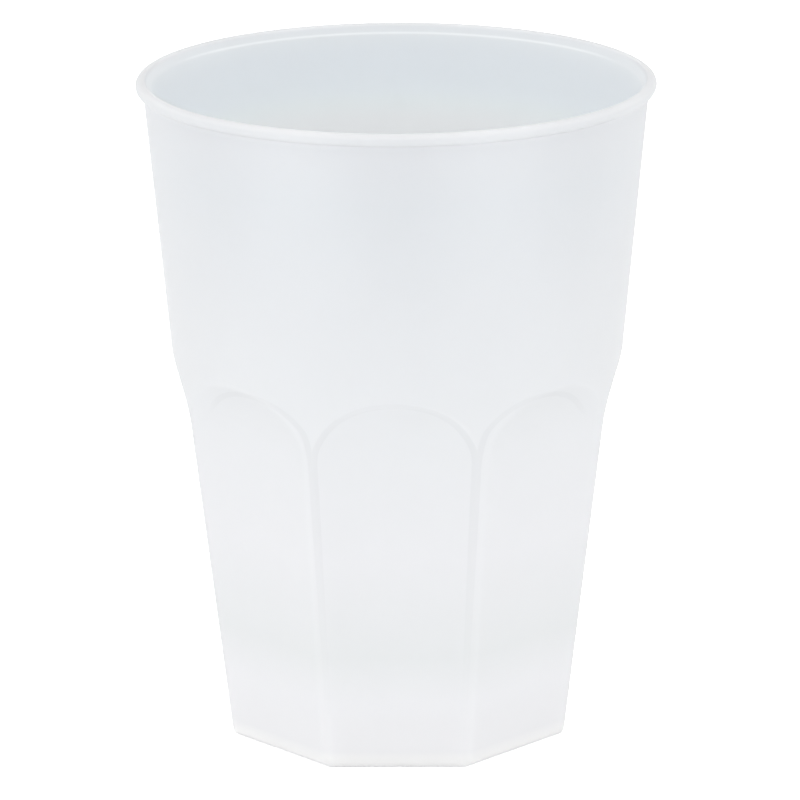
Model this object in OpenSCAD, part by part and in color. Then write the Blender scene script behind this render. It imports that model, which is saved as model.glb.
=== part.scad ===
// Frosted plastic tumbler with a round mouth and an eight-sided foot.
// One thin-walled moulding: the round upper wall runs down into eight flat panels with arched tops.
// Millimetres, Z up, origin at the middle of the foot, one panel facing -Y.

/* [Overall] */
// Height from the foot to the top of the lip
cup_h = 110; // [100:1:125]
// Outer diameter of the lip
rim_d = 85; // [82:0.5:90]
// Thickness of the side wall, measured level
wall = 1.3; // [1:0.05:1.6]

/* [Lip] */
// Diameter of the round bead that the lip ends in
bead_d = 2.1; // [1.8:0.1:2.6]
// How far the bead stands out from the wall under it
bead_out = 1.25; // [0.9:0.05:1.4]
// Height over which the mouth opens out inside the lip
flare_h = 1.8; // [1.2:0.1:2.4]
// How far the mouth opens out over that height
flare_out = 1; // [0.6:0.05:1.2]

/* [Panels] */
// Number of flat panels round the cup
panels = 8; // [6:1:10]
// Width across flats at the foot
foot_flats = 55.2; // [53:0.2:57]
// Height of the top of each arch
arch_z = 64.6; // [60:0.2:70]
// Outer diameter of the round wall at the arch tops
waist_d = 74.6; // [73:0.2:76]
// How far in from the round wall each panel's face would be at its arch top, without the run-out
arch_depth = 2.45; // [1.8:0.05:3]
// Radius of the curve by which each panel runs out into the round wall
runout_r = 25; // [15:1:40]
// How far below the arch tops the round wall starts to close in on the ridges
ridge_drop = 4.6; // [2:0.2:8]
// Width of the blunt edge between two panels at the foot
ridge_w = 1.6; // [0.6:0.1:2.4]

/* [Foot] */
// Height of the drinking floor above the foot
floor_z = 10.4; // [7:0.2:14]
// Thickness of the floor
floor_t = 1.4; // [1:0.1:2]
// Radius of the corner between floor and panels
floor_r = 1.5; // [0.8:0.1:2.5]
// Radius of the outer edge of the foot
foot_r = 1.2; // [0.6:0.1:1.6]
// Width of the standing ring, with its rounded edge
ring_w = 2.4; // [2:0.1:3.5]
// Draft angle of the recess under the floor
recess_draft = 1.5; // [0.5:0.25:3]
// Diameter of the gate mark in the middle of the recess
gate_d = 3; // [2:0.5:5]
// Height of the gate mark
gate_h = 0.4; // [0.2:0.1:0.8]

/* [Hidden] */
$fn = 96;

frosted = [0.91, 0.93, 0.95, 0.75];
over = 5;                                   // how far a cutting shape runs past what it cuts
bite = 0.004;                               // how far an arc crosses a face that it would only touch
half_step = 180 / panels;                   // half the angle between two panels
rim_r = rim_d / 2;
cut_w = 2 * rim_r * tan(half_step) + over;  // width of the shape that cuts one panel
bead_r = bead_d / 2;
neck_r = rim_r - bead_out;                  // outer radius of the wall under the lip
bead_z = cup_h - bead_r;                    // height of the middle of the bead
neck_z = cup_h - bead_d;                    // height of the underside of the lip
waist_r = waist_d / 2;
wall_rise = (neck_r - waist_r) / (neck_z - arch_z);
knee_z = arch_z - ridge_drop;
knee_r = waist_r - ridge_drop * wall_rise;
foot_in_r = foot_flats / 2;
panel_lean = atan((waist_r - arch_depth - foot_in_r) / arch_z);  // how far each panel leans out
// Radius at which a round trim leaves a blunt edge of ridge_w on each ridge at the foot
ridge_r = foot_in_r / cos(half_step - ridge_w / (2 * foot_in_r) * 180 / PI);
recess_z = floor_z - floor_t;
recess_r = foot_in_r - ring_w;

// Distance of a panel's face from the axis at height z
function panel_r(z) = foot_in_r + z * tan(panel_lean);

// Outer radius of the round wall at height z, from the knee up
function wall_r(z) = waist_r + (z - arch_z) * wall_rise;

// Radius of the ridges' round trim at height z, from the foot to the knee
function trim_r(z) = ridge_r + (knee_r - ridge_r) * z / knee_z;

// Outline of what lies outside a panel, with x as distance from the axis and y as height.
// inset moves the face in, and the corner at height base_z is rounded by edge_r.
module panel_outline(inset, base_z, edge_r) {
    along = [sin(panel_lean), cos(panel_lean)];
    out = [cos(panel_lean), -sin(panel_lean)];
    // The run-out is an arc that starts tangent to the panel and ends on the wall at the arch top
    arch_gap = arch_depth * cos(panel_lean);
    arc_run = sqrt(arch_gap * (2 * runout_r - arch_gap));
    arch_top = [waist_r, arch_z];
    arc_start = arch_top - arch_gap * out - arc_run * along;
    centre = arc_start + runout_r * out;
    face_start = arc_start - inset * cos(panel_lean) * out;
    // The rounded corner touches the base and the panel's face
    corner = [panel_r(base_z) - inset, base_z];
    setback = edge_r * tan((90 - panel_lean) / 2);
    round_at = corner + [-setback, edge_r];
    touch = corner + setback * along;
    difference() {
        polygon([
            [round_at.x, base_z - over],
            [centre.x, base_z - over],
            centre,
            face_start,
            touch,
            round_at
        ]);
        translate(round_at) circle(r = edge_r + bite);
    }
    translate(centre) circle(r = runout_r + inset * cos(panel_lean) + bite);
}

// Cuts the last count panels, one after another, from the round form it is given
module panelled(inset, base_z, edge_r, count = panels) {
    if (count == 0)
        children();
    else
        difference() {
            panelled(inset, base_z, edge_r, count - 1) children();
            rotate([0, 0, count * 2 * half_step - 90])
                rotate([90, 0, 0])
                    linear_extrude(height = cut_w, center = true)
                        panel_outline(inset, base_z, edge_r);
        }
}

// The cup's outside as if it were solid
module outer_form() {
    panelled(0, 0, foot_r)
        rotate_extrude() {
            polygon([
                [0, 0],
                [trim_r(0), 0],
                [knee_r, knee_z],
                [wall_r(bead_z), bead_z],
                [0, bead_z]
            ]);
            translate([rim_r - bead_r, bead_z]) circle(r = bead_r);
        }
}

// The space inside the cup, open past the lip
module drink_space() {
    flare_z = cup_h - flare_h;
    flare_slope = flare_out / flare_h;
    panelled(wall, floor_z, floor_r)
        rotate_extrude()
            polygon([
                [0, floor_z],
                [trim_r(floor_z) - wall, floor_z],
                [knee_r - wall, knee_z],
                [wall_r(flare_z) - wall, flare_z],
                [wall_r(flare_z) - wall + (flare_h + over) * flare_slope, cup_h + over],
                [0, cup_h + over]
            ]);
}

// The recess under the floor, eight-sided like the foot and drafted so that it leaves the mould
module under_recess() {
    top_r = recess_r - recess_z * tan(recess_draft);
    low_r = recess_r + over * tan(recess_draft);
    difference() {
        translate([0, 0, -over]) cylinder(r = foot_in_r, h = over + recess_z);
        for (i = [0 : panels - 1])
            rotate([0, 0, i * 2 * half_step - 90])
                rotate([90, 0, 0])
                    linear_extrude(height = cut_w, center = true)
                        polygon([
                            [low_r, -over],
                            [rim_r, -over],
                            [rim_r, recess_z],
                            [top_r, recess_z]
                        ]);
    }
}

// The small mark that the mould's gate leaves, hanging from the floor inside the recess
module gate_mark() {
    translate([0, 0, recess_z - gate_h]) cylinder(d = gate_d, h = gate_h + floor_t / 2);
}

module tumbler() {
    color(frosted) {
        difference() {
            outer_form();
            drink_space();
            under_recess();
        }
        gate_mark();
    }
}

tumbler();
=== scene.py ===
# A frosted plastic tumbler on a white studio floor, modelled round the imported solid.
import math

import bpy
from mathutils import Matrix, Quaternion, Vector


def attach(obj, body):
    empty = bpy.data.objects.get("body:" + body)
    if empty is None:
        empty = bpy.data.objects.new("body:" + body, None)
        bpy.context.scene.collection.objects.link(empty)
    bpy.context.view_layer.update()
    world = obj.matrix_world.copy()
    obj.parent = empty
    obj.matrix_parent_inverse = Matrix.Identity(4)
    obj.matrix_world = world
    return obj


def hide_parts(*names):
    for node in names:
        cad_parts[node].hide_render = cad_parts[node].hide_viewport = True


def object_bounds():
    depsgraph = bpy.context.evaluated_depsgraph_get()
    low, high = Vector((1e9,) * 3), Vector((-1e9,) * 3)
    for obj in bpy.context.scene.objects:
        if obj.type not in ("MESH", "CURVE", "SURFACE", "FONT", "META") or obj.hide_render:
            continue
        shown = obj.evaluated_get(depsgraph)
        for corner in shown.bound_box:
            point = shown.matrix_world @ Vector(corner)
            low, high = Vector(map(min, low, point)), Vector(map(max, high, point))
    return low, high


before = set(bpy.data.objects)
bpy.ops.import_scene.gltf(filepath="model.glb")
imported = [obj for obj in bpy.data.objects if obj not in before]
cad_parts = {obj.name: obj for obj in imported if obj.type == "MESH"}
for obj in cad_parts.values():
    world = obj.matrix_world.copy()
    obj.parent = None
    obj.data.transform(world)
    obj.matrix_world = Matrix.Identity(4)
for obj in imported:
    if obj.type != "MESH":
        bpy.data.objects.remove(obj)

cad_low, cad_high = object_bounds()

# Sizes of the moulding, in metres
CUP_H = cad_high.z
RIM_R = cad_high.x
WALL = 0.0013
BEAD_R = 0.00105
BEAD_OUT = 0.00125
FLARE_H = 0.0018
FLARE_OUT = 0.001
PANELS = 8
FOOT_IN_R = 0.0276
ARCH_Z = 0.0646
WAIST_R = 0.0373
ARCH_DEPTH = 0.00245
RUNOUT_R = 0.025
RIDGE_DROP = 0.0046
RIDGE_W = 0.0016
FLOOR_Z = 0.0104
FLOOR_T = 0.0014
FLOOR_R = 0.0015
FOOT_R = 0.0012
RING_W = 0.0024
RECESS_DRAFT = math.radians(1.5)
GATE_R = 0.0015
GATE_H = 0.0004

# Places worked out from those sizes
HALF_STEP = math.pi / PANELS
NECK_R = RIM_R - BEAD_OUT
NECK_Z = CUP_H - 2 * BEAD_R
BEAD_Z = CUP_H - BEAD_R
WALL_RISE = (NECK_R - WAIST_R) / (NECK_Z - ARCH_Z)
KNEE_Z = ARCH_Z - RIDGE_DROP
KNEE_R = WAIST_R - RIDGE_DROP * WALL_RISE
RIDGE_R = FOOT_IN_R / math.cos(HALF_STEP - RIDGE_W / (2 * FOOT_IN_R))
LEAN = math.atan((WAIST_R - ARCH_DEPTH - FOOT_IN_R) / ARCH_Z)
RECESS_Z = FLOOR_Z - FLOOR_T
RECESS_R = FOOT_IN_R - RING_W
ARCH_SPRING = KNEE_Z - RIDGE_DROP

# How finely the mesh is drawn, and over how much its edges are softened
STEPS = 528
ROUNDING_ROWS = 9
FLAT_ROWS = 8
TOP_ROWS = 9
LIP_ROWS = 22
FLARE_ROWS = (0.25, 0.5, 0.75, 0.9)
RECESS_LOW_ROW = 0.004
RECESS_EDGE_ROW = 0.0002
RECESS_TOP_SHARE = 0.9
ROUND_GATE_SHARE = 1.3
GATE_TOP_SHARE = 0.8
CENTRE_SHARE = 0.97
SMOOTH_ANGLE = math.radians(35)
ARCH_LOW = 0.046
ARCH_HIGH = 0.0664
ARCH_ROW = 0.0004
EDGE_BLEND = 0.00014
CORNER_BLEND = 0.0001
BOUND_BLEND = 1e-6

# The plastic: how deep light scatters in it, and its colour by height outside and inside, with painted light and
# shade in it
PLASTIC_IOR = 1.49
SCATTER = 0.0015
OUTSIDE_COLOUR_AND_SHADE = (
    (0.001, (0.965, 0.965, 0.970)),   # the foot's edge, painted light as if lit through the wall
    (0.003, (0.885, 0.888, 0.905)),
    (0.012, (0.867, 0.870, 0.889)),   # the foot, painted light as if from the floor behind it
    (0.020, (0.819, 0.833, 0.840)),   # the panels, just over the floor, in a little painted shade
    (0.037, (0.848, 0.852, 0.871)),
    (0.060, (0.822, 0.834, 0.850)),   # the arches
    (0.080, (0.790, 0.804, 0.823)),   # the round wall, bluer and in deeper painted shade as it rises
    (0.098, (0.759, 0.779, 0.801)),
    (0.1070, (0.760, 0.774, 0.795)),
    (0.1079, (0.800, 0.812, 0.830)),  # under the bead, painted lighter to lift the shadow there
    (0.1085, (0.755, 0.770, 0.790)),  # the bead's side, in painted shade
    (0.1091, (0.760, 0.775, 0.795)),
    (0.1096, (0.815, 0.825, 0.840)),  # the bead's top, with a painted highlight
)
# Inside: its colour by height, with painted light deep down and painted shade on the flare
INSIDE_COLOUR_AND_SHADE = (
    (0.0930, (0.925, 0.965, 0.990)),  # as deep as the eye reaches over the lip, painted lighter
    (0.1005, (0.845, 0.873, 0.897)),
    (0.1055, (0.813, 0.837, 0.860)),
    (0.1082, (0.812, 0.834, 0.850)),  # the wall's top, where the flare starts
    (0.1090, (0.795, 0.812, 0.828)),  # the flare, in painted shade
)

# Where the inside's colour and painted light give way to the outside's, as a depth into the wall
OUTSIDE_STARTS = WALL * 0.4
OUTSIDE_FULL = WALL * 0.6

# The painted highlight at the flare's edge, and how far the wall turns away before it fades
FLARE_EDGE_PAINTED_HIGHLIGHT = 0.12
FLARE_EDGE_W = 0.0003
GLINT_TURNS = 0.275
GLINT_GONE = 0.55

# The inner panels' edges, drawn as painted dark lines: how far behind the skin, below and beside their place they are
# seen
RIDGE_SEEN_DEPTH = 0.0019
ARCH_SEEN_DEPTH = 0.0033
SEEN_LOWER = 0.0005
SEEN_ASIDE = 0.00025
SIDE_LOWER = 0.12
SIDE_BLEND = 0.005

# Their painted shade lines: how dark, how wide, and how far the cup turns away before they fade
LINE_SHADE = 0.038
LOW_LINE_SHARE = 0.2
ARCH_LINE_SHARE = 0.75
LINE_TURNS = 0.46
LINE_GONE = 0.57
LINE_SOFT = 0.00004
LINE_DEPTH = 0.00026
LINE_END = LINE_DEPTH * 1.4
LINE_WIDEN = 0.00014

# Shading on the skin: soft waves over the panels, the turn to the sides, the grain and the mottle
FESTOON_SHADE = 0.018
SIDES_TURN = 0.2
SIDES_END = 0.95
SIDES_SHADE = 0.11
GRAIN_SIZE = 0.0004
GRAIN_DETAIL = 2.0
GRAIN_DEPTH = 0.00002
GRAIN_STRENGTH = 0.4
SATIN_ROUGHNESS = 0.42
GRAIN_ROUGHNESS = 0.16
MOTTLE_SIZE = 0.006
MOTTLE_DETAIL = 3.0
MOTTLE_SHADE = 0.012

# The studio
TENT_SIDES = 1.25
TENT_TOP = 0.8
PAPER_R = 3
PAPER_SIDES = 96
PAPER_WHITE = (0.97, 0.97, 0.97, 1)
PAPER_LIFT = 0.6
SOFT_BOX_SIZE = 0.8
SOFT_BOX_POWER = 0.42
SOFT_BOX_PLACE = (-1.3, -0.7, 0.7)

# The camera, as it stood for the photograph
CAMERA_AWAY = 0.7846
CAMERA_H = 0.2852
CAMERA_TILT = math.radians(16.361)
CAMERA_TURN = math.radians(0.5)
CAMERA_ROLL = math.radians(-0.263)
AIM_X = 0.0004
SENSOR_W = 36
LENS = 221.4135
CLIP_NEAR = 0.01
CLIP_FAR = 20


def smooth_min(a, b, blend):
    """The smaller of a and b, with the corner between them rounded off."""
    share = min(max(0.5 + 0.5 * (b - a) / blend, 0.0), 1.0)
    return b + (a - b) * share - blend * share * (1 - share)


def wall_r(z):
    """Outer radius of the round wall at height z, with the ridges' trim below the knee."""
    if z > KNEE_Z:
        return WAIST_R + (z - ARCH_Z) * WALL_RISE
    return RIDGE_R + (KNEE_R - RIDGE_R) * z / KNEE_Z


def run_out(inset):
    """Middle and radius of the arc by which a panel runs out into the round wall, and the height it starts at."""
    arch_gap = ARCH_DEPTH * math.cos(LEAN)
    arc_run = math.sqrt(arch_gap * (2 * RUNOUT_R - arch_gap))
    along = Vector((math.sin(LEAN), math.cos(LEAN)))
    out = Vector((math.cos(LEAN), -math.sin(LEAN)))
    middle = Vector((WAIST_R, ARCH_Z)) + (RUNOUT_R - arch_gap) * out - arc_run * along
    arc_r = RUNOUT_R + inset * math.cos(LEAN)
    return middle, arc_r, middle.y + arc_r * math.sin(LEAN)


def panel_r(z, inset, base_z, edge_r):
    """Distance of a panel's face from the axis: foot rounding, flat face, then the run-out at the arch."""
    middle, arc_r, arc_z = run_out(inset)
    if z > arc_z:
        return middle.x - math.sqrt(max(arc_r ** 2 - (z - middle.y) ** 2, 0.0))
    setback = edge_r * math.tan((math.pi / 2 - LEAN) / 2)
    round_z = base_z + edge_r
    round_r = FOOT_IN_R + base_z * math.tan(LEAN) - inset - setback
    if z < round_z - edge_r * math.sin(LEAN):
        return round_r + math.sqrt(max(edge_r ** 2 - (round_z - z) ** 2, 0.0))
    return FOOT_IN_R + z * math.tan(LEAN) - inset


def spread(start, end, count):
    """Evenly spaced values from start to end, both included."""
    return [start + (end - start) * i / (count - 1) for i in range(count)]


def rounding_heights(base_z, edge_r):
    """Heights of the rows that draw the rounding at the foot of a panel."""
    turn = math.pi / 2 - LEAN
    return [base_z + edge_r * (1 - math.cos(part)) for part in spread(0, turn, ROUNDING_ROWS)]


def wall_heights(base_z, edge_r, top_z):
    """Heights of the rows of a wall, close together only where the arches run."""
    rows = rounding_heights(base_z, edge_r)
    rows += spread(rows[-1], ARCH_LOW, FLAT_ROWS)[1:]
    arch_rows = round((ARCH_HIGH - ARCH_LOW) / ARCH_ROW)
    rows += spread(ARCH_LOW, ARCH_HIGH, arch_rows + 1)[1:]
    rows += spread(ARCH_HIGH, top_z, TOP_ROWS)[1:]
    return rows


def spun_sheet(name, outline):
    """Draws an outline of (radius, height) points from vertex to vertex and spins it round the axis."""
    bpy.ops.object.select_all(action="DESELECT")
    bpy.ops.mesh.primitive_plane_add(size=BEAD_R)
    sheet = bpy.context.object
    sheet.name = name
    bpy.ops.object.mode_set(mode="EDIT")
    bpy.ops.mesh.select_mode(type="VERT")
    bpy.ops.mesh.select_all(action="SELECT")
    bpy.ops.mesh.merge(type="CENTER")
    place = Vector((0, 0, 0))
    for i, (r, z) in enumerate(outline):
        step = Vector((0, -r, z)) - place
        if i == 0:
            bpy.ops.transform.translate(value=step)
        else:
            bpy.ops.mesh.extrude_region_move(TRANSFORM_OT_translate={"value": step})
        place += step
    bpy.ops.mesh.select_all(action="SELECT")
    bpy.ops.mesh.spin(steps=STEPS, angle=2 * math.pi, center=(0, 0, 0), axis=(0, 0, 1))
    bpy.ops.mesh.select_all(action="SELECT")
    bpy.ops.mesh.remove_doubles(threshold=BOUND_BLEND)
    bpy.ops.object.mode_set(mode="OBJECT")
    return sheet


def press(vertices, face_r, blend):
    """Presses the panels into a spun wall. face_r(z) is how far each panel's face is from the axis."""
    for vertex in vertices:
        x, y, z = vertex.co
        radius = math.hypot(x, y)
        if radius < GATE_R:
            continue
        turn = math.atan2(x, -y) + HALF_STEP
        from_middle = turn % (2 * HALF_STEP) - HALF_STEP
        pressed = smooth_min(radius, face_r(z) / math.cos(from_middle), blend)
        vertex.co.x = x * pressed / radius
        vertex.co.y = y * pressed / radius


def select_rim(sheet, height, radius_range):
    """Selects the open edge loop at a height, within a range of radii."""
    bpy.ops.object.mode_set(mode="EDIT")
    bpy.ops.mesh.select_all(action="DESELECT")
    bpy.ops.mesh.select_mode(type="EDGE")
    bpy.ops.mesh.select_non_manifold()
    bpy.ops.object.mode_set(mode="OBJECT")
    low, high = radius_range
    for edge in sheet.data.edges:
        ends = [sheet.data.vertices[i].co for i in edge.vertices]
        inside = all(abs(p.z - height) < BOUND_BLEND and low < math.hypot(p.x, p.y) < high for p in ends)
        edge.select = edge.select and inside
    bpy.ops.object.mode_set(mode="EDIT")


def recess_face_r(z):
    """Distance of the recess's faces from the axis, with their draft."""
    return RECESS_R - z * math.tan(RECESS_DRAFT)


def add_standing_ring(sheet):
    """Draws the level ring that the cup stands on, from the foot's outer edge in to the recess."""
    select_rim(sheet, 0, (0, RIM_R))
    bpy.ops.mesh.extrude_region_move()
    bpy.ops.object.mode_set(mode="OBJECT")
    press([vertex for vertex in sheet.data.vertices if vertex.select], recess_face_r, CORNER_BLEND)


def outer_sheet():
    """The outside and the lip, with the ring it stands on. Gives the sheet and the lip's inner edge."""
    outline = [(wall_r(z), z) for z in wall_heights(0, FOOT_R, NECK_Z - BEAD_R / 2)]
    start = -math.acos((NECK_R - (RIM_R - BEAD_R)) / BEAD_R)
    mouth_r = wall_r(CUP_H - FLARE_H) - WALL + FLARE_OUT
    end = math.acos((mouth_r - (RIM_R - BEAD_R)) / BEAD_R)
    for turn in spread(start, end, LIP_ROWS):
        outline.append((RIM_R - BEAD_R + BEAD_R * math.cos(turn), BEAD_Z + BEAD_R * math.sin(turn)))
    sheet = spun_sheet("tumbler_outer", outline)
    press(sheet.data.vertices, lambda z: panel_r(z, 0, 0, FOOT_R), EDGE_BLEND)
    add_standing_ring(sheet)
    return sheet, outline[-1]


def inner_sheet(lip_edge):
    """The inside, from the lip's inner edge down the flare and the wall to the floor's rounding."""
    flare_z = CUP_H - FLARE_H
    heights = wall_heights(FLOOR_Z, FLOOR_R, flare_z - BEAD_R / 4)
    outline = [lip_edge]
    for share in FLARE_ROWS:
        outline.append((
            lip_edge[0] + (wall_r(flare_z) - WALL - lip_edge[0]) * share,
            lip_edge[1] + (flare_z - lip_edge[1]) * share,
        ))
    outline += [(wall_r(z) - WALL, z) for z in reversed(heights)]
    sheet = spun_sheet("tumbler_inner", outline)
    press(sheet.data.vertices, lambda z: panel_r(z, WALL, FLOOR_Z, FLOOR_R), EDGE_BLEND)
    return sheet


def under_sheet():
    """The recess under the floor, with the gate mark in its middle."""
    heights = (0, RECESS_EDGE_ROW, RECESS_LOW_ROW, RECESS_Z - RECESS_EDGE_ROW, RECESS_Z)
    outline = [(RIDGE_R, z) for z in heights]
    outline += [(RECESS_R * RECESS_TOP_SHARE, RECESS_Z), (GATE_R * ROUND_GATE_SHARE, RECESS_Z)]
    outline += [(GATE_R, RECESS_Z), (GATE_R, RECESS_Z - GATE_H)]
    outline.append((GATE_R * GATE_TOP_SHARE, RECESS_Z - GATE_H))
    sheet = spun_sheet("tumbler_under", outline)
    press(sheet.data.vertices, recess_face_r, CORNER_BLEND)
    return sheet


def close_centre(sheet, height, radius_range):
    """Closes a level open edge loop towards the axis."""
    select_rim(sheet, height, radius_range)
    bpy.ops.mesh.extrude_region_move()
    bpy.ops.transform.resize(value=(CENTRE_SHARE, CENTRE_SHARE, 1), center_override=(0, 0, height))
    bpy.ops.mesh.extrude_region_move()
    bpy.ops.mesh.merge(type="CENTER")
    bpy.ops.object.mode_set(mode="OBJECT")


def make_tumbler():
    """Joins the three sheets into one closed moulding. Spinning leaves them loose, so they are merged."""
    outer, lip_edge = outer_sheet()
    inner = inner_sheet(lip_edge)
    under = under_sheet()
    bpy.ops.object.select_all(action="DESELECT")
    for sheet in (under, inner, outer):
        sheet.select_set(True)
    bpy.context.view_layer.objects.active = outer
    bpy.ops.object.join()
    cup = bpy.context.object
    cup.name = "tumbler_moulding"
    close_centre(cup, FLOOR_Z, (FOOT_IN_R / 2, RIM_R))
    close_centre(cup, RECESS_Z - GATE_H, (GATE_R / 2, GATE_R))
    bpy.ops.object.mode_set(mode="EDIT")
    bpy.ops.mesh.select_mode(type="VERT")
    bpy.ops.mesh.select_all(action="SELECT")
    bpy.ops.mesh.remove_doubles(threshold=BOUND_BLEND)
    bpy.ops.mesh.normals_make_consistent(inside=False)
    bpy.ops.object.mode_set(mode="OBJECT")
    bpy.ops.object.shade_smooth_by_angle(angle=SMOOTH_ANGLE)
    return cup


def feed(tree, socket, source):
    """Links a source to a socket, or sets the socket to a plain value."""
    if isinstance(source, bpy.types.NodeSocket):
        tree.links.new(source, socket)
    else:
        socket.default_value = source


def maths(tree, operation, *sources):
    """Adds one maths node and gives its result."""
    node = tree.nodes.new("ShaderNodeMath")
    node.operation = operation
    for socket, source in zip(node.inputs, sources):
        feed(tree, socket, source)
    return node.outputs["Value"]


def ease(tree, value, start, end, before=0.0, after=1.0):
    """Goes smoothly from before to after while the value goes from start to end."""
    node = tree.nodes.new("ShaderNodeMapRange")
    node.interpolation_type = "SMOOTHSTEP"
    feed(tree, node.inputs["Value"], value)
    node.inputs["From Min"].default_value = start
    node.inputs["From Max"].default_value = end
    node.inputs["To Min"].default_value = before
    node.inputs["To Max"].default_value = after
    return node.outputs["Result"]


def blend_colour(tree, share, colour_a, colour_b):
    """Mixes two colours by a share."""
    node = tree.nodes.new("ShaderNodeMix")
    node.data_type = "RGBA"
    feed(tree, node.inputs["Factor"], share)
    feed(tree, node.inputs["A"], colour_a)
    feed(tree, node.inputs["B"], colour_b)
    return node.outputs["Result"]


def scale_colour(tree, colour, amount):
    """Makes a colour lighter or darker by an amount."""
    node = tree.nodes.new("ShaderNodeVectorMath")
    node.operation = "SCALE"
    feed(tree, node.inputs[0], colour)
    feed(tree, node.inputs["Scale"], amount)
    return node.outputs["Vector"]


def effect_group(name, outputs):
    """Starts a node group with the named outputs. Gives its tree, the point on the object and the output node."""
    tree = bpy.data.node_groups.new(name, "ShaderNodeTree")
    for title, kind in outputs:
        tree.interface.new_socket(name=title, in_out="OUTPUT", socket_type=kind)
    point = tree.nodes.new("ShaderNodeTexCoord").outputs["Object"]
    return tree, point, tree.nodes.new("NodeGroupOutput")


def use_group(material, group):
    """Adds a group to a material and gives its outputs."""
    node = material.node_tree.nodes.new("ShaderNodeGroup")
    node.node_tree = group
    return node.outputs


def round_cup(tree, x, y):
    """Distance from the axis, and the angle round it from the middle of the nearest panel."""
    radius = maths(tree, "SQRT", maths(tree, "ADD", maths(tree, "MULTIPLY", x, x), maths(tree, "MULTIPLY", y, y)))
    turn = maths(tree, "ARCTAN2", x, maths(tree, "MULTIPLY", y, -1.0))
    return radius, maths(tree, "WRAP", turn, HALF_STEP, -HALF_STEP)


def inner_walls(tree, height, from_middle):
    """Radius of the inner panels and of the inner round wall, by the same rules as the mesh."""
    arc_middle, arc_r, arc_z = run_out(WALL)
    arc_start_r = FOOT_IN_R + arc_z * math.tan(LEAN) - WALL
    flat_z = maths(tree, "MINIMUM", height, arc_z)
    flat_r = maths(tree, "MULTIPLY_ADD", flat_z, math.tan(LEAN), FOOT_IN_R - WALL)
    rise = maths(tree, "SUBTRACT", maths(tree, "MAXIMUM", height, arc_z), arc_middle.y)
    reach = maths(tree, "MAXIMUM", maths(tree, "SUBTRACT", arc_r ** 2, maths(tree, "MULTIPLY", rise, rise)), 0.0)
    curve = maths(tree, "SUBTRACT", arc_middle.x - arc_start_r, maths(tree, "SQRT", reach))
    panel = maths(tree, "DIVIDE", maths(tree, "ADD", flat_r, curve), maths(tree, "COSINE", from_middle))
    upper = maths(tree, "MULTIPLY_ADD", height, WALL_RISE, WAIST_R - WALL - ARCH_Z * WALL_RISE)
    ridges = maths(tree, "MULTIPLY_ADD", height, (KNEE_R - RIDGE_R) / KNEE_Z, RIDGE_R - WALL)
    return panel, maths(tree, "MINIMUM", upper, ridges)


def outside_group():
    """One on the outside of the side wall, nought on the inside."""
    tree, point, result = effect_group("outside_of_the_wall", [("Outside", "NodeSocketFloat")])
    split = tree.nodes.new("ShaderNodeSeparateXYZ")
    feed(tree, split.inputs["Vector"], point)
    radius, from_middle = round_cup(tree, split.outputs["X"], split.outputs["Y"])
    panel, wall = inner_walls(tree, split.outputs["Z"], from_middle)
    depth = maths(tree, "SUBTRACT", radius, maths(tree, "MINIMUM", panel, wall))
    feed(tree, result.inputs["Outside"], ease(tree, depth, OUTSIDE_STARTS, OUTSIDE_FULL))
    return tree


def painted_edge_shade_group():
    """Painted dark lines where the edges of the inner panels show through the wall, as seen from the front and from
    the back.
    """
    tree, point, result = effect_group("painted_shade_of_inner_edges", [("Line", "NodeSocketFloat")])
    split = tree.nodes.new("ShaderNodeSeparateXYZ")
    feed(tree, split.inputs["Vector"], point)
    side = ease(tree, split.outputs["Y"], -SIDE_BLEND, SIDE_BLEND, 1.0, -1.0)
    seen_depth = ease(tree, split.outputs["Z"], ARCH_SPRING, KNEE_Z, RIDGE_SEEN_DEPTH, ARCH_SEEN_DEPTH)
    y = maths(tree, "MULTIPLY_ADD", side, seen_depth, split.outputs["Y"])
    beside_front = maths(tree, "SUBTRACT", WAIST_R * math.cos(HALF_STEP), maths(tree, "ABSOLUTE", split.outputs["Y"]))
    lower = maths(tree, "MULTIPLY_ADD", maths(tree, "MAXIMUM", beside_front, 0.0), SIDE_LOWER, SEEN_LOWER)
    height = maths(tree, "ADD", split.outputs["Z"], lower)
    x = maths(tree, "ADD", split.outputs["X"], SEEN_ASIDE)
    radius, from_middle = round_cup(tree, x, y)
    panel, wall = inner_walls(tree, height, from_middle)
    gap = maths(tree, "SUBTRACT", panel, wall)
    widened = maths(tree, "ADD", gap, ease(tree, height, FLOOR_Z, KNEE_Z, 0.0, LINE_WIDEN))
    starts = ease(tree, widened, -LINE_SOFT, LINE_SOFT)
    ends = ease(tree, gap, LINE_DEPTH, LINE_END, 1.0, 0.0)
    above_floor = ease(tree, height, FLOOR_Z, FLOOR_Z + FLOOR_R, 0.0, 1.0)
    ridge_share = ease(tree, height, FLOOR_Z, ARCH_LOW, LOW_LINE_SHARE, 1.0)
    arch_share = ease(tree, height, KNEE_Z, ARCH_Z - RIDGE_DROP / 2, 1.0, ARCH_LINE_SHARE)
    fades = maths(tree, "MULTIPLY", above_floor, maths(tree, "MULTIPLY", ridge_share, arch_share))
    line = maths(tree, "MULTIPLY", maths(tree, "MULTIPLY", starts, ends), fades)
    feed(tree, result.inputs["Line"], line)
    return tree


def painted_flare_highlight_group():
    """A painted highlight inside the mouth, where the wall starts to flare out to the lip."""
    tree, point, result = effect_group("painted_highlight_on_the_flare_edge", [("Line", "NodeSocketFloat")])
    split = tree.nodes.new("ShaderNodeSeparateXYZ")
    feed(tree, split.inputs["Vector"], point)
    edge_z = CUP_H - FLARE_H + FLARE_EDGE_W
    starts = ease(tree, split.outputs["Z"], edge_z - FLARE_EDGE_W, edge_z)
    ends = ease(tree, split.outputs["Z"], edge_z, edge_z + FLARE_EDGE_W, 1.0, 0.0)
    feed(tree, result.inputs["Line"], maths(tree, "MULTIPLY", starts, ends))
    return tree


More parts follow.
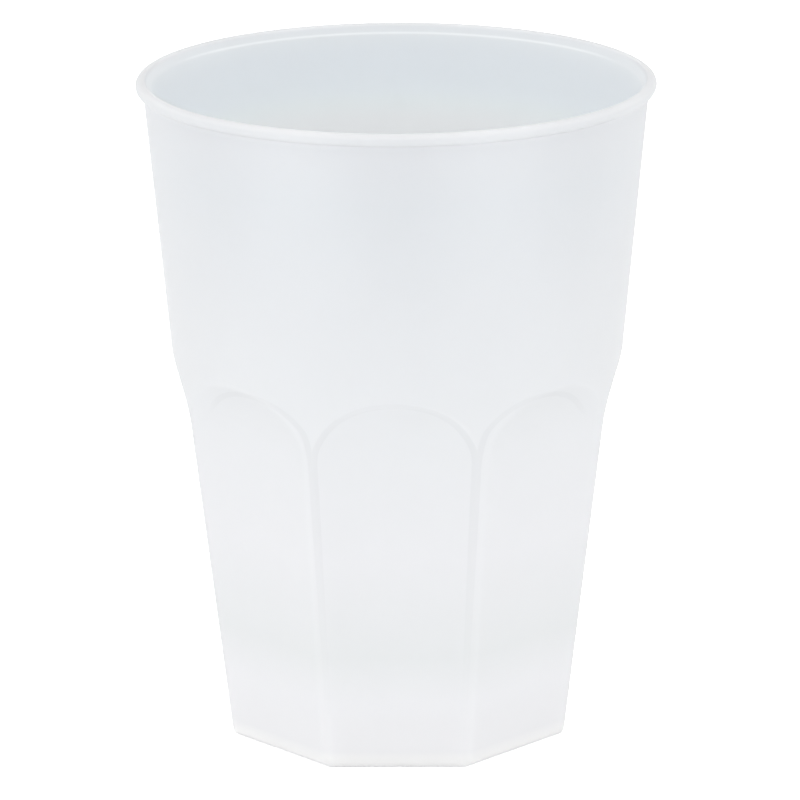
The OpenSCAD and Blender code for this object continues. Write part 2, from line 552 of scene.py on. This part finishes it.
def panel_light_group():
    """Soft festoons of shade on the round wall: a little darker over the panels, lighter over the ridges."""
    tree, point, result = effect_group("light_off_the_panels", [("Shade", "NodeSocketFloat")])
    split = tree.nodes.new("ShaderNodeSeparateXYZ")
    feed(tree, split.inputs["Vector"], point)
    radius, from_middle = round_cup(tree, split.outputs["X"], split.outputs["Y"])
    wave = maths(tree, "COSINE", maths(tree, "MULTIPLY", from_middle, float(PANELS)))
    fade = ease(tree, split.outputs["Z"], ARCH_Z, NECK_Z)
    feed(tree, result.inputs["Shade"], maths(tree, "MULTIPLY", wave, fade))
    return tree


def painted_shade_by_height_group(name, shaded_colour_stops):
    """A colour by height, with painted light and shade: a little greyer and bluer by the lip, nearly white from the
    waist down.
    """
    tree, point, result = effect_group(name, [("Color", "NodeSocketColor")])
    split = tree.nodes.new("ShaderNodeSeparateXYZ")
    feed(tree, split.inputs["Vector"], point)
    ramp = tree.nodes.new("ShaderNodeValToRGB")
    share = maths(tree, "DIVIDE", split.outputs["Z"], CUP_H)
    feed(tree, ramp.inputs["Fac"], share)
    for i, (height, colour) in enumerate(shaded_colour_stops):
        stop = ramp.color_ramp.elements[i] if i < 2 else ramp.color_ramp.elements.new(1.0)
        stop.position = height / CUP_H
        stop.color = (*colour, 1)
    feed(tree, result.inputs["Color"], ramp.outputs["Color"])
    return tree


def satin_group():
    """The spark-eroded surface of the mould: a very fine grain, and a cloudier mottle under it."""
    tree, point, result = effect_group("satin_grain", [
        ("Grain", "NodeSocketFloat"), ("Mottle", "NodeSocketFloat"), ("Normal", "NodeSocketVector"),
    ])
    grain = tree.nodes.new("ShaderNodeTexNoise")
    feed(tree, grain.inputs["Vector"], point)
    grain.inputs["Scale"].default_value = 1 / GRAIN_SIZE
    grain.inputs["Detail"].default_value = GRAIN_DETAIL
    mottle = tree.nodes.new("ShaderNodeTexNoise")
    feed(tree, mottle.inputs["Vector"], point)
    mottle.inputs["Scale"].default_value = 1 / MOTTLE_SIZE
    mottle.inputs["Detail"].default_value = MOTTLE_DETAIL
    bump = tree.nodes.new("ShaderNodeBump")
    bump.inputs["Strength"].default_value = GRAIN_STRENGTH
    bump.inputs["Distance"].default_value = GRAIN_DEPTH
    feed(tree, bump.inputs["Height"], grain.outputs["Fac"])
    feed(tree, result.inputs["Grain"], grain.outputs["Fac"])
    feed(tree, result.inputs["Mottle"], mottle.outputs["Fac"])
    feed(tree, result.inputs["Normal"], bump.outputs["Normal"])
    return tree


def turned_away(tree):
    """How far the round of the cup has turned away from the eye, whatever its panels do."""
    flatten = tree.nodes.new("ShaderNodeVectorMath")
    flatten.operation = "MULTIPLY"
    feed(tree, flatten.inputs[0], tree.nodes.new("ShaderNodeTexCoord").outputs["Object"])
    flatten.inputs[1].default_value = (1, 1, 0)
    outward = tree.nodes.new("ShaderNodeVectorMath")
    outward.operation = "NORMALIZE"
    feed(tree, outward.inputs[0], flatten.outputs["Vector"])
    weight = tree.nodes.new("ShaderNodeLayerWeight")
    feed(tree, weight.inputs["Normal"], outward.outputs["Vector"])
    return weight.outputs["Facing"]


def satin_plastic():
    """Milky polypropylene: light scatters inside the wall, and the skin has a satin sheen."""
    material = bpy.data.materials.new("milky_satin_plastic")
    material.use_nodes = True
    tree = material.node_tree
    shader = tree.nodes["Principled BSDF"]
    outside = use_group(material, outside_group())["Outside"]
    # Colour by height outside and inside, with painted light and shade in it
    outside_colour_with_shade = use_group(material, painted_shade_by_height_group("colour_with_painted_shade_outside", OUTSIDE_COLOUR_AND_SHADE))["Color"]
    inside_colour_with_shade = use_group(material, painted_shade_by_height_group("colour_with_painted_shade_inside", INSIDE_COLOUR_AND_SHADE))["Color"]
    line = use_group(material, painted_edge_shade_group())["Line"]
    festoon = use_group(material, panel_light_group())["Shade"]
    flare_highlight_line = use_group(material, painted_flare_highlight_group())["Line"]
    satin = use_group(material, satin_group())

    facing = tree.nodes.new("ShaderNodeLayerWeight").outputs["Facing"]
    mottle = maths(tree, "MULTIPLY_ADD", satin["Mottle"], MOTTLE_SHADE, 1 - MOTTLE_SHADE / 2)
    waved = maths(tree, "MULTIPLY_ADD", festoon, -FESTOON_SHADE, mottle)
    turned = maths(tree, "MULTIPLY_ADD", ease(tree, facing, SIDES_TURN, SIDES_END), -SIDES_SHADE, waved)
    # Painted shade: dark lines where the inner panels' edges show through the wall, faded towards the sides
    drawn = maths(tree, "MULTIPLY", line, ease(tree, turned_away(tree), LINE_TURNS, LINE_GONE, 1.0, 0.0))
    shade = maths(tree, "MULTIPLY_ADD", drawn, -LINE_SHADE, turned)
    outer_colour = scale_colour(tree, outside_colour_with_shade, shade)
    # A painted highlight on the flare's edge, faded where the wall turns away
    painted_glint = maths(tree, "MULTIPLY", flare_highlight_line, ease(tree, facing, GLINT_TURNS, GLINT_GONE, 1.0, 0.0))
    inner_colour = scale_colour(tree, inside_colour_with_shade, maths(tree, "MULTIPLY_ADD", painted_glint, FLARE_EDGE_PAINTED_HIGHLIGHT, 1.0))
    colour = blend_colour(tree, outside, inner_colour, outer_colour)
    feed(tree, shader.inputs["Base Color"], colour)
    roughness = maths(tree, "MULTIPLY_ADD", satin["Grain"], GRAIN_ROUGHNESS, SATIN_ROUGHNESS)
    feed(tree, shader.inputs["Roughness"], roughness)
    feed(tree, shader.inputs["Normal"], satin["Normal"])
    shader.inputs["IOR"].default_value = PLASTIC_IOR
    shader.inputs["Subsurface Weight"].default_value = 1.0
    shader.inputs["Subsurface Radius"].default_value = (1, 1, 1)
    shader.inputs["Subsurface Scale"].default_value = SCATTER
    return material


def seen_directly(tree):
    """One where the camera looks straight at something, or through a gloss or a clear piece, else nought."""
    path = tree.nodes.new("ShaderNodeLightPath").outputs
    mirrored = maths(tree, "MAXIMUM", path["Is Camera Ray"], path["Is Glossy Ray"])
    return maths(tree, "MAXIMUM", mirrored, path["Is Transmission Ray"])


def light_tent():
    """A white tent as the world: brighter at the sides than overhead, and plain white where it is seen."""
    world = bpy.data.worlds.new("light_tent")
    bpy.context.scene.world = world
    world.use_nodes = True
    tree = world.node_tree
    split = tree.nodes.new("ShaderNodeSeparateXYZ")
    feed(tree, split.inputs["Vector"], tree.nodes.new("ShaderNodeTexCoord").outputs["Generated"])
    glow = tree.nodes.new("ShaderNodeMapRange")
    feed(tree, glow.inputs["Value"], split.outputs["Z"])
    glow.inputs["To Min"].default_value = TENT_SIDES
    glow.inputs["To Max"].default_value = TENT_TOP
    shown = tree.nodes.new("ShaderNodeMix")
    feed(tree, shown.inputs["Factor"], seen_directly(tree))
    feed(tree, shown.inputs["A"], glow.outputs["Result"])
    shown.inputs["B"].default_value = 1.0
    background = tree.nodes["Background"]
    background.inputs["Color"].default_value = (1, 1, 1, 1)
    feed(tree, background.inputs["Strength"], shown.outputs["Result"])


def paper_floor():
    """A wide sheet of white paper, lifted to full white where it is seen, so that only the shadow shows."""
    bpy.ops.object.select_all(action="DESELECT")
    bpy.ops.mesh.primitive_circle_add(vertices=PAPER_SIDES, radius=PAPER_R, fill_type="NGON")
    floor = bpy.context.object
    floor.name = "studio_floor"
    paper = bpy.data.materials.new("white_paper")
    paper.use_nodes = True
    tree = paper.node_tree
    shader = tree.nodes["Principled BSDF"]
    shader.inputs["Base Color"].default_value = PAPER_WHITE
    shader.inputs["Roughness"].default_value = 1.0
    shader.inputs["Specular IOR Level"].default_value = 0.0
    shader.inputs["Emission Color"].default_value = (1, 1, 1, 1)
    feed(tree, shader.inputs["Emission Strength"], maths(tree, "MULTIPLY", seen_directly(tree), PAPER_LIFT))
    floor.data.materials.append(paper)


def soft_box():
    """A large soft lamp to the left, a little stronger than the tent."""
    data = bpy.data.lights.new("soft_box", "AREA")
    data.shape = "SQUARE"
    data.size = SOFT_BOX_SIZE
    data.energy = SOFT_BOX_POWER
    lamp = bpy.data.objects.new("soft_box", data)
    bpy.context.scene.collection.objects.link(lamp)
    lamp.location = SOFT_BOX_PLACE
    lamp.rotation_mode = "QUATERNION"
    lamp.rotation_quaternion = (Vector((0, 0, CUP_H / 2)) - lamp.location).to_track_quat("-Z", "Y")


def photo_camera():
    """A long lens from a little above, about eight hundred millimetres away."""
    aim_z = CAMERA_H - CAMERA_AWAY * math.tan(CAMERA_TILT)
    data = bpy.data.cameras.new("camera")
    data.sensor_width = SENSOR_W
    data.lens = LENS
    data.clip_start = CLIP_NEAR
    data.clip_end = CLIP_FAR
    camera = bpy.data.objects.new("camera", data)
    bpy.context.scene.collection.objects.link(camera)
    camera.location = (
        CAMERA_AWAY * math.sin(CAMERA_TURN), -CAMERA_AWAY * math.cos(CAMERA_TURN), CAMERA_H,
    )
    look = Vector((AIM_X, 0, aim_z)) - camera.location
    camera.rotation_mode = "QUATERNION"
    facing = look.to_track_quat("-Z", "Y")
    camera.rotation_quaternion = facing @ Quaternion((0, 0, 1), CAMERA_ROLL)
    bpy.context.scene.camera = camera


bpy.context.scene.view_settings.view_transform = "Standard"
photo_camera()
light_tent()
paper_floor()
soft_box()
tumbler = make_tumbler()
tumbler.data.materials.append(satin_plastic())
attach(tumbler, "root")
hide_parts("tumbler")
